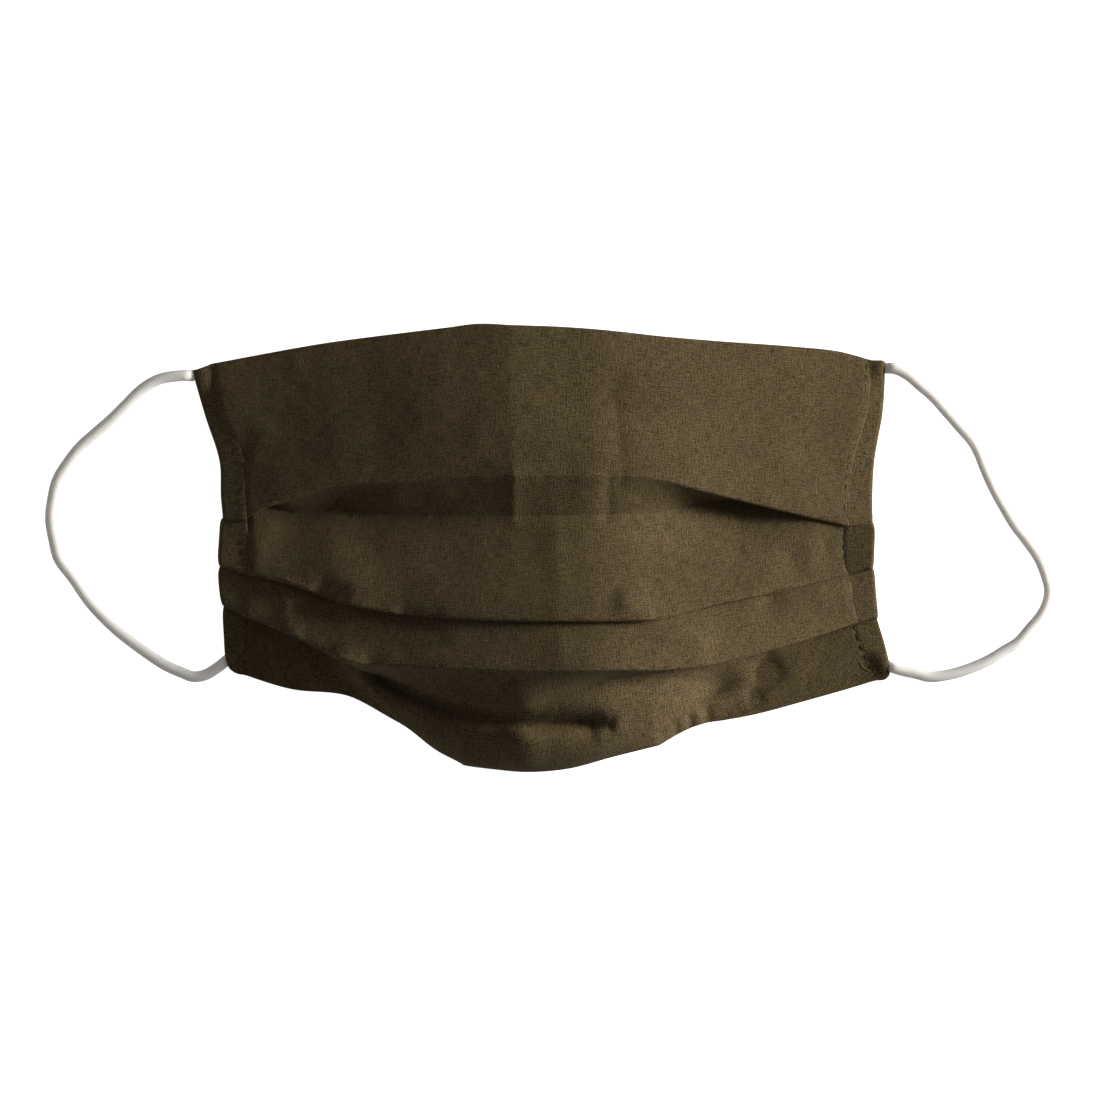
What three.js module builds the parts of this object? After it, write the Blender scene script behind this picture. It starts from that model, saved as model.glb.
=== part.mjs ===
// Pleated cloth face mask, lying on a surface with its outer side up and its ear loops beside it.
// Millimetres. +X runs along the pleats, +Y towards the nose edge, +Z up from the surface.
// The origin is on the surface, under the middle of the cloth.
import * as THREE from 'three';

// Driving sizes
const MASK_WIDTH = 202; // hem edge to hem edge, along the nose edge
const SIDE_HEIGHT = 90; // along a side hem, where the pleats stay folded
const CENTRE_HEIGHT = 130; // down the middle, where the pleats are drawn open
const DOME_HEIGHT = 28; // the lowest fold above the surface, in the middle
const CLOTH = 1; // wall of the doubled cotton
const LAYER_GAP = 0.2; // air between two layers inside a fold
const PLEAT_DEPTH = 12; // cloth from the edge of a pleat to its tuck
const PANEL_PUFF = 1.2; // how far the top panel bellies out
const CHIN_TUCK = 6; // how far the chin edge curls in under the dome
const CHIN_SHOULDER = 0.85; // upper bend of the chin panel, as a share of the last tuck's height
const CHIN_HEEL = 0.14; // lower bend of the chin panel, as a share of the same height
const HEM_WIDTH = 7; // fold-over of the side hems
const HEM_THICKNESS = 2.8; // side hem between two pleats
const TUCK_SAG = 0.75; // share of a half-open pleat's cloth that hangs straight, the rest is slack
const TAB_SWELL = 1.4; // how far a hem swells between two pleats
const TAB_STEP = 0.6; // length of the step down from one pleat to the next
const HEM_ROUND = 0.28; // rounding of the hem's outer edge, as a share of its thickness
const LOOP_DIAMETER = 3; // round knitted elastic
const PIECE_GAP = 0.3; // between two pieces sewn to each other

// How finely the cloth is divided
const CUTS = 33; // sections across the mask
const END_CROWDING = 0.55; // how much closer the sections lie near the hems, where the pleats open
const FOLD_STEPS = 4; // steps round a fold
const TOP_STEPS = 9;
const PANEL_STEPS = 5;
const PLEAT_STEPS = 2;
const CHIN_STEPS = 8;
const TAB_STEPS = [10, 6, 6, 6]; // steps along each of the four tabs of a side hem
const LOOP_SIDES = 8;
const LOOP_STEPS = 56;

// Sizes that follow
const LAYER = CLOTH + LAYER_GAP;
const FOLD_RADIUS = LAYER / 2; // centre line of the cloth round a fold
const FLAT = CLOTH / 2; // centre line of a layer that lies on the surface
const LOOP_HEIGHT = LOOP_DIAMETER / 2;
const HEM_CORNER = LOOP_DIAMETER + CLOTH; // the hem is thicker over the sewn-in elastic

// The lines that cross the mask, from the nose edge down. side is the line's place on the hems as a
// share of SIDE_HEIGHT, middle its place on the centre line as a share of CENTRE_HEIGHT, and rise its
// height there as a share of DOME_HEIGHT.
const LINES = [
  { name: 'top', side: 0.595, middle: 0.495, rise: 0.04 },
  { name: 'fold1', side: 0.1, middle: 0.163, rise: 0.7 },
  { name: 'fold2', side: -0.071, middle: -0.155, rise: 0.93 },
  { name: 'fold3', side: -0.206, middle: -0.268, rise: 1 },
  { name: 'bottom', side: -0.405, middle: -0.49, rise: 0 },
];

// One row for each section, from the left hem to the right. at is its place as a share of the half
// width. top to bottom say how far each line has moved from its side place to its middle place, and
// lift how high the dome stands. show1 to show3 say how far each pleat is drawn open: -1 is folded
// flat, 0 hangs straight down and 1 lies open.
const SECTION_COLUMNS = ['at', 'top', 'fold1', 'fold2', 'fold3', 'bottom', 'lift', 'show1', 'show2', 'show3'];
const SECTIONS = [
  [-1, 0, 0, 0, 0, 0, 0, -1, -1, -1],
  [-0.85, 0.2, 0.48, 0.21, 0.32, 0.15, 0.26, 0.3, -1, -0.6],
  [-0.66, 0.46, 0.8, 0.63, 0.8, 0.25, 0.5, 0.58, -1, 0.09],
  [-0.48, 0.74, 0.88, 0.86, 0.91, 0.59, 0.72, 0.83, -1, 0.46],
  [-0.28, 0.93, 0.98, 0.95, 0.96, 0.92, 0.9, 0.94, -1, 0.64],
  [-0.08, 1, 1, 1, 1, 1, 1, 0.96, -1, 0.9],
  [0.19, 0.89, 1, 1, 0.96, 0.81, 0.9, 0.94, -1, 0.33],
  [0.37, 0.72, 0.93, 0.95, 0.95, 0.67, 0.76, 0.81, -1, 0.12],
  [0.54, 0.59, 0.64, 0.68, 0.85, 0.5, 0.6, 0.27, -1, 0],
  [0.77, 0.42, 0.24, 0.37, 0.52, 0.31, 0.32, -0.3, -1, -0.5],
  [1, 0.11, -0.14, 0, 0.12, 0.06, 0, -1, -1, -1],
];

// One row for each place down the side hems: at counts the lines above, from 0 at the nose edge to 4 at
// the chin edge. The edges are shares of half of MASK_WIDTH and the hems shares of HEM_WIDTH.
const HEM_COLUMNS = ['at', 'leftEdge', 'leftHem', 'rightEdge', 'rightHem'];
const HEMS = [
  [0, 1, 0.92, 0.986, 0.75],
  [0.3, 0.963, 0.75, 0.98, 0.82],
  [0.61, 0.931, 0.9, 0.952, 0.98],
  [1, 0.911, 0.88, 0.947, 1.15],
  [2, 0.914, 0.98, 0.947, 1.06],
  [3, 0.904, 0.9, 0.956, 0.94],
  [3.43, 0.896, 0.75, 0.968, 0.85],
  [4, 0.874, 0.5, 0.987, 0.64],
];

// Routes of the ear loops on the surface, from the nose corner to the chin corner
const LEFT_ROUTE = [
  [-100.9, 50.4], [-105, 50.2], [-109.5, 49.5], [-113, 48], [-116.5, 45.5], [-120, 42],
  [-124.5, 37.5], [-128.5, 34], [-133.5, 29.5], [-137, 25], [-140, 20], [-141.5, 14],
  [-142, 8.5], [-141, 2.5], [-139.5, -3], [-135.5, -8.5], [-131, -15], [-126, -20.5],
  [-121, -25], [-115, -29.5], [-109, -33.5], [-103.5, -36], [-100.5, -37], [-97, -36.4],
  [-93.4, -34.2], [-91.2, -32.4],
];
const RIGHT_ROUTE = [
  [100.2, 52.5], [103, 52.2], [106.5, 50.5], [110, 47.5], [114, 44], [118, 39.5], [121.5, 35.5],
  [125, 31.5], [127, 28], [129, 23], [131.5, 17.5], [134.5, 12], [137.5, 7], [141, 2.5],
  [144.5, -2.5], [146.5, -7.5], [147.5, -11.5], [147, -15.5], [145, -19.5], [142, -23],
  [138.5, -27], [134.5, -29.5], [129.5, -32.5], [123.5, -35], [118, -36.5], [113, -37],
  [108.5, -36], [104, -35], [100.7, -33.8],
];

const CLOTH_FINISH = { color: 0x4a3f28, roughness: 0.95, metalness: 0, side: THREE.DoubleSide };
const ELASTIC_FINISH = { color: 0xe8e4dc, roughness: 0.9, metalness: 0 };

// Smooth reading of a table between its rows, whose first column says where each row lies
function tableReader(columns, rows) {
  const places = rows.map((row) => row[0]);
  const values = rows.flatMap((row) => row.slice(1));
  const curve = new THREE.CubicInterpolant(places, values, columns.length - 1);
  return (at) => {
    const found = curve.evaluate(at);
    return Object.fromEntries(columns.slice(1).map((column, index) => [column, found[index]]));
  };
}

const readSection = tableReader(SECTION_COLUMNS, SECTIONS);
const readHem = tableReader(HEM_COLUMNS, HEMS);

// Outer side of cloth that runs in the direction of an angle
function outward(angle) {
  return new THREE.Vector2(Math.sin(angle), -Math.cos(angle));
}

// Direction of the cloth that runs straight from one turn to the next. A turn's sign is 1 round a
// fold, -1 round a tuck and 0 at a plain point.
function directionBetween(from, to) {
  const offset = (from.sign - to.sign) * FOLD_RADIUS;
  const reach = to.centre.clone().sub(from.centre);
  const straight = Math.sqrt(Math.max(reach.lengthSq() - offset * offset, 0));
  return reach.angle() + Math.atan2(offset, straight);
}

// How far below its fold a folded tuck lies, so that the panel under it clears it
function foldedDrop(depth, spacing, climb) {
  const share = depth / (depth + spacing);
  return (LAYER + share * (climb + LAYER)) / (1 - share);
}

// The folds and tucks of one section as turns of the cloth, in its own plane of y and z
function turnsOf(at) {
  const row = readSection(at);
  const lines = LINES.map((line) => {
    const y = THREE.MathUtils.lerp(line.side * SIDE_HEIGHT, line.middle * CENTRE_HEIGHT, row[line.name]);
    return { y, rise: line.rise };
  });
  const folds = lines.slice(1, 4);
  const spacings = folds.map((fold, index) => fold.y - lines[index + 2].y);
  const stand = FLAT + FOLD_RADIUS + Math.max(...spacings.map((gap) => foldedDrop(PLEAT_DEPTH, gap, 0)));
  folds.forEach((fold) => {
    fold.z = THREE.MathUtils.lerp(stand, fold.rise * DOME_HEIGHT, row.lift);
  });
  const topEdge = new THREE.Vector2(lines[0].y, FLAT + lines[0].rise * DOME_HEIGHT * row.lift);
  const turns = [{ sign: 0, centre: topEdge }];
  folds.forEach((fold, index) => {
    const forward = -PLEAT_DEPTH * row[`show${index + 1}`];
    const above = turns[turns.length - 1].centre;
    const nextHeight = index < 2 ? folds[index + 1].z : fold.z;
    let drop = LAYER;
    if (forward > 0) {
      const overShare = forward / (above.x - fold.y);
      const clearOver = LAYER + overShare * (fold.z - above.y + LAYER);
      drop = Math.max(clearOver, foldedDrop(forward, spacings[index], nextHeight - fold.z));
    }
    const hang = TUCK_SAG * Math.sqrt(Math.max(PLEAT_DEPTH * PLEAT_DEPTH - forward * forward, 0));
    const room = fold.z - FLAT - FOLD_RADIUS;
    drop = Math.min(Math.max(drop, hang), room);
    turns.push({ sign: 1, centre: new THREE.Vector2(fold.y, fold.z) });
    turns.push({ sign: -1, centre: new THREE.Vector2(fold.y + forward, fold.z - drop) });
  });
  return { turns, chin: lines[4].y, lines: lines.map((line) => line.y) };
}

// Centre line of the cloth in one section, from the nose edge to the chin edge, as points with the
// direction of the cloth
function centreLine(at) {
  const { turns, chin, lines } = turnsOf(at);
  const lastTuck = turns[turns.length - 1].centre;
  const steepness = Math.min((lastTuck.y - FLAT - FOLD_RADIUS) / (DOME_HEIGHT / 2), 1) ** 2;
  const hemEnd = new THREE.Vector2(chin + CHIN_TUCK * steepness, FLAT);
  const belly = (8 * chin - lastTuck.x - hemEnd.x) / 6;
  const shoulder = new THREE.Vector2(
    THREE.MathUtils.lerp(THREE.MathUtils.lerp(lastTuck.x, hemEnd.x, 1 / 3), belly, steepness),
    THREE.MathUtils.lerp(FLAT, lastTuck.y * CHIN_SHOULDER, steepness),
  );
  const heel = new THREE.Vector2(
    THREE.MathUtils.lerp(THREE.MathUtils.lerp(lastTuck.x, hemEnd.x, 2 / 3), belly, steepness),
    THREE.MathUtils.lerp(FLAT, lastTuck.y * CHIN_HEEL, steepness),
  );
  turns.push({ sign: 0, centre: shoulder });

  const directions = turns.slice(1).map((turn, index) => directionBetween(turns[index], turn));
  const points = [{ point: turns[0].centre, angle: directions[0] }];
  for (let index = 1; index < turns.length - 1; index += 1) {
    const { sign, centre } = turns[index];
    const onTurn = (angle) => outward(angle).multiplyScalar(sign * FOLD_RADIUS).add(centre);
    const from = points[points.length - 1].point;
    const to = onTurn(directions[index - 1]);
    const intoFold = sign > 0;
    const steps = index === 1 ? TOP_STEPS : intoFold ? PANEL_STEPS : PLEAT_STEPS;
    const puff = index === 1 ? PANEL_PUFF * Math.min(centre.y / DOME_HEIGHT, 1) : 0;
    for (let step = 1; step < steps; step += 1) {
      const share = step / steps;
      const point = from.clone().lerp(to, share);
      point.addScaledVector(outward(directions[index - 1]), puff * Math.sin(Math.PI * share));
      points.push({ point, angle: directions[index - 1] });
    }
    let wrap = sign * (directions[index] - directions[index - 1]);
    wrap = THREE.MathUtils.euclideanModulo(wrap + Math.PI / 2, 2 * Math.PI) - Math.PI / 2;
    for (let step = 0; step <= FOLD_STEPS; step += 1) {
      const angle = directions[index - 1] + (sign * wrap * step) / FOLD_STEPS;
      points.push({ point: onTurn(angle), angle });
    }
  }
  const start = points[points.length - 1].point;
  const bend = new THREE.CubicBezierCurve(start, shoulder, heel, hemEnd);
  for (let step = 1; step <= CHIN_STEPS; step += 1) {
    const share = step / CHIN_STEPS;
    points.push({ point: bend.getPoint(share), angle: bend.getTangent(share).angle() });
  }
  return { points, lines };
}

// Where a height on a side hem lies, counted in lines from the nose edge
function countLines(lines, y) {
  let index = 0;
  while (index < lines.length - 2 && y < lines[index + 1]) index += 1;
  const share = (lines[index] - y) / (lines[index] - lines[index + 1]);
  return index + THREE.MathUtils.clamp(share, 0, 1);
}

function hemEdge(side, at) {
  const row = readHem(at);
  return (side * MASK_WIDTH * (side < 0 ? row.leftEdge : row.rightEdge)) / 2;
}

function stitchLine(side, at) {
  const row = readHem(at);
  return hemEdge(side, at) - side * HEM_WIDTH * (side < 0 ? row.leftHem : row.rightHem);
}

// A closed skin over a row of rings. Each ring has an even number of points: its first half runs along
// one side of the wall and its second half back along the other, so both sides are split along the
// same diagonals. The two end rings are closed by strips from one half to the other.
function loft(rings) {
  const count = rings[0].length;
  const index = [];
  const quad = (a, b, c, d) => index.push(a, b, c, a, c, d);
  for (let ring = 0; ring < rings.length - 1; ring += 1) {
    for (let k = 0; k < count; k += 1) {
      const next = (k + 1) % count;
      const [a, b] = [ring * count + k, ring * count + next];
      if (k < count / 2) quad(a, b, b + count, a + count);
      else quad(b, b + count, a + count, a);
    }
  }
  const last = (rings.length - 1) * count;
  for (let k = 0; k < count / 2 - 1; k += 1) {
    const across = count - 1 - k;
    quad(k, across, across - 1, k + 1);
    quad(last + k, last + k + 1, last + across - 1, last + across);
  }
  const geometry = new THREE.BufferGeometry();
  geometry.setAttribute('position', new THREE.Float32BufferAttribute(rings.flat(2), 3));
  geometry.setIndex(index);
  geometry.computeVertexNormals();
  return geometry;
}

function named(name, geometry, finish) {
  const mesh = new THREE.Mesh(geometry, new THREE.MeshStandardMaterial(finish));
  mesh.name = name;
  return mesh;
}

// The pleated cloth: every section is offset to both sides by half of the wall
function pleatedPanel() {
  const leftEnd = centreLine(-1);
  const rightEnd = centreLine(1);
  const placeOnHem = (end, side) => end.points.map(({ point }) => {
    return stitchLine(side, countLines(end.lines, point.x)) - (side * PIECE_GAP) / 2;
  });
  const leftX = placeOnHem(leftEnd, -1);
  const rightX = placeOnHem(rightEnd, 1);
  const rings = [];
  for (let cut = 0; cut < CUTS; cut += 1) {
    const even = (2 * cut) / (CUTS - 1) - 1;
    const at = THREE.MathUtils.lerp(even, Math.sin((Math.PI / 2) * even), END_CROWDING);
    const share = (at + 1) / 2;
    const { points } = centreLine(at);
    const offsetBy = (distance) => points.map(({ point, angle }, k) => {
      const moved = point.clone().addScaledVector(outward(angle), distance);
      return [THREE.MathUtils.lerp(leftX[k], rightX[k], share), moved.x, moved.y];
    });
    rings.push([...offsetBy(CLOTH / 2), ...offsetBy(-CLOTH / 2).reverse()]);
  }
  return named('pleated_panel', loft(rings), CLOTH_FINISH);
}

// A side hem: the cloth folded over the ends of the pleats, in four tabs that step down like shingles
function sideHem(side) {
  const { lines, points } = centreLine(side);
  const foldTop = Math.max(...points.map(({ point }) => point.y)) + CLOTH / 2;
  const startHeights = [HEM_CORNER, HEM_THICKNESS, HEM_THICKNESS, HEM_THICKNESS];
  const endHeights = [foldTop, foldTop, foldTop, HEM_CORNER];
  const rings = [];
  TAB_STEPS.forEach((steps, tab) => {
    const from = lines[tab] - (tab > 0 ? TAB_STEP : 0);
    for (let step = 0; step <= steps; step += 1) {
      const share = step / steps;
      const y = THREE.MathUtils.lerp(from, lines[tab + 1], share);
      const swell = tab > 0 ? TAB_SWELL * Math.sin(Math.PI * share) : 0;
      const edge = hemEdge(side, tab + share) + side * swell;
      const seam = stitchLine(side, tab + share) + (side * PIECE_GAP) / 2;
      const height = THREE.MathUtils.lerp(startHeights[tab], endHeights[tab], share);
      const round = HEM_ROUND * height;
      const ring = [
        [seam, y, 0],
        [edge - side * round, y, 0],
        [edge, y, round],
        [edge, y, height - round],
        [edge - side * round, y, height],
        [seam, y, height],
      ];
      rings.push(side < 0 ? ring.reverse() : ring);
    }
  });
  return named(side < 0 ? 'side_hem_left' : 'side_hem_right', loft(rings), CLOTH_FINISH);
}

// An ear loop: a round elastic laid along its route on the surface
function earLoop(name, route) {
  const path = new THREE.CatmullRomCurve3(route.map(([x, y]) => new THREE.Vector3(x, y, LOOP_HEIGHT)));
  const round = new THREE.Shape();
  for (let corner = 0; corner < LOOP_SIDES; corner += 1) {
    const angle = (2 * Math.PI * corner) / LOOP_SIDES;
    const x = (LOOP_DIAMETER / 2) * Math.cos(angle);
    const y = (LOOP_DIAMETER / 2) * Math.sin(angle);
    if (corner === 0) round.moveTo(x, y);
    else round.lineTo(x, y);
  }
  const options = { steps: LOOP_STEPS, bevelEnabled: false, extrudePath: path };
  return named(name, new THREE.ExtrudeGeometry(round, options), ELASTIC_FINISH);
}

const mask = new THREE.Group();
mask.add(
  pleatedPanel(),
  sideHem(-1),
  sideHem(1),
  earLoop('ear_loop_left', LEFT_ROUTE),
  earLoop('ear_loop_right', RIGHT_ROUTE),
);

export default mask;
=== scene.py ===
"""Pleated cotton face mask, lying on a pale surface with its ear loops beside it.

The file is laid out as a Blender add-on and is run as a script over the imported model. Its pieces lie
in the model's frame, in metres. The tables of shape are in millimetres, shares of the sizes in the
settings, or pixels of the photograph, which at_pixel turns into places on the mask.
"""

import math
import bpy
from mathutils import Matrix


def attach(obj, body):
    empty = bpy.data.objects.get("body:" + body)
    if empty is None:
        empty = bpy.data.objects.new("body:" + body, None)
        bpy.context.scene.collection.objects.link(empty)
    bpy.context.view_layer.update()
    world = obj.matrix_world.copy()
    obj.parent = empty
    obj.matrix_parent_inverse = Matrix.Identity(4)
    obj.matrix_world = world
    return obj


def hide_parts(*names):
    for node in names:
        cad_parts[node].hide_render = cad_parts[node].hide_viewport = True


bl_info = {
    "name": "Pleated cloth face mask",
    "version": (1, 0, 0),
    "blender": (4, 5, 0),
    "location": "3D View > Sidebar > Face mask",
    "description": "Makes a pleated cotton face mask with stitched side hems and elastic ear loops",
    "category": "Object",
}

import bmesh
import bpy
import numpy as np
from bpy.props import FloatProperty, FloatVectorProperty, IntProperty, PointerProperty
from mathutils import Vector, geometry, noise

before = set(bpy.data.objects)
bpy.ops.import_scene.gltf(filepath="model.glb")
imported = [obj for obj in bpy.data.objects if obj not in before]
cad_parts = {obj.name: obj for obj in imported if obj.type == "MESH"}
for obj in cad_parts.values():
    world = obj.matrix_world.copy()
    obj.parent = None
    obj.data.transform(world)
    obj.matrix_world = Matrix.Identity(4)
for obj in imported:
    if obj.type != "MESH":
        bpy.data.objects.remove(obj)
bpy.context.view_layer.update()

MM = 0.001
PIXEL = 0.29 * MM  # one pixel of the photograph on the mask
PHOTO_CENTRE = (540.5, 549)  # the pixel over the frame's origin
PHOTO_MIDDLE = (550, 550)  # the pixel in the middle of the photograph
TURN = 2 * math.pi
STITCH_LENGTH = 0.0029
SURFACE_GAP = 0.0001  # of the hems' undersides above z = 0, and of the surface below it

# The lines that cross the mask, from the nose edge down: place on the hems as a share of the side
# height, place on the centre line as a share of the centre height, and height there as a share of
# the dome's.
LINES = (
    ("top", 0.595, 0.495, 0.5),
    ("fold1", 0.1, 0.163, 0.76),
    ("fold2", -0.071, -0.155, 0.93),
    ("fold3", -0.206, -0.268, 1),
    ("bottom", -0.405, -0.49, 0),
)

# One row for each section, from the left hem to the right: its place as a share of the half width,
# how far each line has moved from its side place to its middle place, how high the dome stands and
# how far each pleat is drawn open, where -1 is folded flat and 1 lies open.
SECTION_COLUMNS = ("top", "fold1", "fold2", "fold3", "bottom", "lift", "show1", "show2", "show3")
SECTIONS = (
    (-1, 0, 0, 0, 0, 0, 0.08, -1, -1, -1),
    (-0.85, 0.25, 0.48, 0.21, 0.32, 0.15, 0.24, 0.3, -1, -0.6),
    (-0.66, 0.54, 0.8, 0.63, 0.8, 0.25, 0.44, 0.58, -1, 0.09),
    (-0.48, 0.75, 0.88, 0.86, 0.91, 0.63, 0.61, 0.83, -1, 0.46),
    (-0.38, 0.855, 0.935, 0.91, 0.94, 0.865, 0.7, 0.895, -1, 0.55),
    (-0.28, 0.96, 0.98, 0.95, 0.96, 0.93, 0.78, 0.94, -1, 0.64),
    (-0.19, 1.06, 0.99, 0.98, 0.98, 0.97, 0.85, 0.95, -1, 0.78),
    (-0.08, 1.02, 1, 1, 1, 1, 0.915, 0.96, -1, 0.9),
    (0.05, 0.98, 1, 1, 0.99, 0.96, 0.97, 0.96, -1, 0.66),
    (0.19, 0.89, 1, 1, 0.96, 0.835, 0.985, 0.94, -1, 0.33),
    (0.37, 0.72, 0.93, 0.95, 0.95, 0.69, 0.83, 0.81, -1, 0.12),
    (0.54, 0.6, 0.64, 0.68, 0.85, 0.54, 0.62, 0.27, -1, 0),
    (0.77, 0.46, 0.24, 0.37, 0.52, 0.29, 0.34, -0.3, -1, -0.5),
    (0.9, 0.34, 0.02, 0.17, 0.3, 0.16, 0.18, -0.72, -1, -0.8),
    (1, 0.11, -0.14, 0, 0.12, 0.06, 0.08, -1, -1, -1),
)

# One row for each place down the side hems, counted in the lines above: the edges as shares of half
# of the width and the hems as shares of the hem width.
HEM_COLUMNS = ("left_edge", "left_hem", "right_edge", "right_hem")
HEMS = (
    (0, 1, 0.92, 0.99, 0.75),
    (0.3, 0.963, 0.75, 0.983, 0.82),
    (0.61, 0.921, 0.9, 0.958, 1.05),
    (0.85, 0.917, 0.9, 0.952, 1.14),
    (1, 0.911, 0.88, 0.953, 1.19),
    (2, 0.914, 0.98, 0.95, 1.09),
    (3, 0.904, 0.9, 0.964, 1.0),
    (3.43, 0.898, 0.75, 0.986, 0.95),
    (3.75, 0.893, 0.6, 1.0, 0.8),
    (4, 0.88, 0.5, 1.002, 0.66),
)

# How far each tab of the left and right hem slopes down outwards, as a share of the hem's drop. A tab
# with less than 0 slopes up.
HEM_DROPS = {-1: (1, 1, 1, 1), 1: (0.9, -0.5, 0.3, 0.5)}

# The outlines of the tabs, for the left and right hem from the nose corner down: how far the tabs'
# ends lean towards the nose edge, how far each tab's middle swells outwards, how round the corners at
# the nose and the chin are, and the two places y of the elastic inside, in millimetres.
TAB_LEANS = {-1: (-1.7, 0.1, 1.7, 2.6, 0), 1: (0, 0.3, 1.3, 1, 0)}
TAB_SWELLS = {-1: (0, 1.3, 1.3, 1.2), 1: (0, 0.7, 0.9, 0.2)}
HEM_CORNERS = {-1: (0.6, 2.6), 1: (1, 2.5)}
HIDDEN_ELASTIC = {-1: (50.4, -33.5), 1: (52.5, -33.8)}

# The form of the side hems, in metres
TAB_OVERLAP = 0.0025  # how far a tab runs on under the one before it
TAB_END = 0.001  # stretch at the ends of a tab where its rows lie closer
HEM_INSIDE = 0.0008  # from the stitches to the hem's inner edge
HEM_ROUND = 0.0009  # radius of the hem's outer fold
HEM_LEAST = 0.0009  # least height of the hem's outer edge
LEAN_START = 0.0018  # from the hem's inner edge to where a tab's end begins to lean
LEAN_REACH = 0.0046  # from there to where it leans in full
ELASTIC_BULGE = 0.0013  # rise of the hem over the elastic inside
BULGE_SPREAD = 0.0038  # along the hem
BULGE_START = 0.0006  # from the hem's inner edge to where the bulge begins
BULGE_REACH = 0.0046  # from there to where it is full
SEAM_DEPTHS = {-1: 0.00012, 1: 0.00045}  # groove along the inner edge of the left and right hem
SEAM_REACH = 0.0014  # width of the groove
PUCKER_HEIGHT = 0.00008  # ripple of the hem from stitch to stitch
PUCKER_REACH = 0.0024  # width of the ripple
CLOTH_UNDER_HEM = 0.0012  # the panels' cloth past the stitches
SEAM_ENDS = (0.0008, 0.0006)  # from the nose and chin corners to the row of stitches
STITCH_SPAN = (0.0002, 0.86)  # start of a stitch from its hole, and its end as a share of its length
STITCH_RISE = 0.0003  # how far the middle of a stitch arches over its ends
STITCH_SINK = 0.6  # share of the rise by which the whole stitch lies lower
THREAD_LIFT = 0.0002  # of a loose thread's middle over what it lies on
HOLE_RADIUS = 0.00022

# The elastic: its girth, its width and height as shares of its thickness, and the share of that height
# that is left where it is pressed in the hem. It swells up again over PRESS_REACH, which starts at
# PRESS_START inside the hem.
ELASTIC_GIRTH = 0.0094
ELASTIC_WIDTH = 1.06
UNEVEN_WIDTH = 0.07
ELASTIC_HEIGHT = 0.985
PRESSED = 0.42
PRESS_START = 0.0006
PRESS_REACH = 0.003

KEY_PLACE = (1.47, 0.286, 0.401)  # the light, low over the surface at the right

# Routes of the ear loops on the surface, from the nose corner to the chin corner
LEFT_ROUTE = (
    (-100.9, 50.4), (-105, 50.2), (-109.5, 49.5), (-113, 48), (-116.5, 45.5), (-120, 42),
    (-124.5, 37.5), (-128.5, 34), (-133.5, 29.5), (-137, 25), (-140, 20), (-141.5, 14),
    (-142, 8.5), (-141, 2.5), (-139.5, -3), (-135.5, -8.5), (-131, -15), (-126, -20.5),
    (-121, -25), (-115, -29.5), (-109, -33.5), (-103.5, -36), (-100.5, -37), (-97, -36.4),
    (-93.4, -34.2), (-91.2, -32.4),
)
RIGHT_ROUTE = (
    (100.2, 52.5), (103, 52.2), (106.5, 50.5), (110, 47.5), (114, 44), (118, 39.5), (121.5, 35.5),
    (125, 31.5), (127, 28), (129, 23), (131.5, 17.5), (134.5, 12), (137.5, 7), (141, 2.5),
    (144.5, -2.5), (146.5, -7.5), (147.5, -11.5), (147, -15.5), (145, -19.5), (142, -23),
    (138.5, -27), (134.5, -29.5), (129.5, -32.5), (123.5, -35), (118, -36.5), (113, -37),
    (108.5, -36), (104, -35), (100.7, -33.8),
)

# Loose threads on the side hems, and with side 0 a thin line on the surface under the lower edge of the
# left loop, which is painted shadow of the loop drawn as a thread: the side, the thickness in millimetres and
# the line in pixels of the photograph. The holes that a needle left along the right hem follow.
LOOSE_THREADS_AND_LOOP_SHADOW = (
    (0, 0.2, ((161, 381), (172, 380.4), (184, 380.6), (194, 381))),
    (-1, 0.16, ((207, 367), (212, 366), (217, 370))),
    (1, 0.1, ((857, 432), (860, 424), (865, 419), (868, 416))),
    (1, 0.14, ((861, 662), (864, 668), (870, 671))),
    (1, 0.12, ((871, 676), (875, 671), (880, 673))),
    (1, 0.12, ((866, 672), (862, 676), (858, 674))),
)
NEEDLE_HOLES = (
    (879, 392), (877.6, 403.5), (873, 419), (873, 427), (868.5, 438), (864.6, 442.5), (864.6, 453),
    (861, 463), (860, 471), (864, 471), (865, 485), (868, 495), (868, 502),
)

# Steps along each of the seven lengths of cloth from the nose edge to the chin edge: the top panel, then
# by turns the cloth tucked in under a fold and the panel that follows it
LEG_STEPS = (34, 9, 30, 7, 12, 9, 36)
CHIN_LEG = 6
FOLD_STEPS = 6  # round each fold and tuck
CLOTH_SECTIONS = 250
SECTION_CROWDING = 0.3  # how far the sections crowd towards the hems

FULL_HANG_LIFT = 0.5  # lift of the dome from which the first two pleats hang by their whole sag
CHIN_SHOULDER = 0.85  # heights of the two points that bend the chin panel, as shares of its top
CHIN_HEEL = 0.14
CHIN_FADE = 0.125  # share of the chin panel, at its edge, over which the relief fades out
CREASE_FADE = 1.2  # stretch over which a crease fades out at each end, in its half widths
MOST_FADE = 0.4  # and at most this share of its length

# The line that several creases of the groove over the chin share, in pixels of the photograph
CHIN_GROOVE = ((400, 687), (430, 700), (460, 709), (492, 717), (526, 720))

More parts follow.
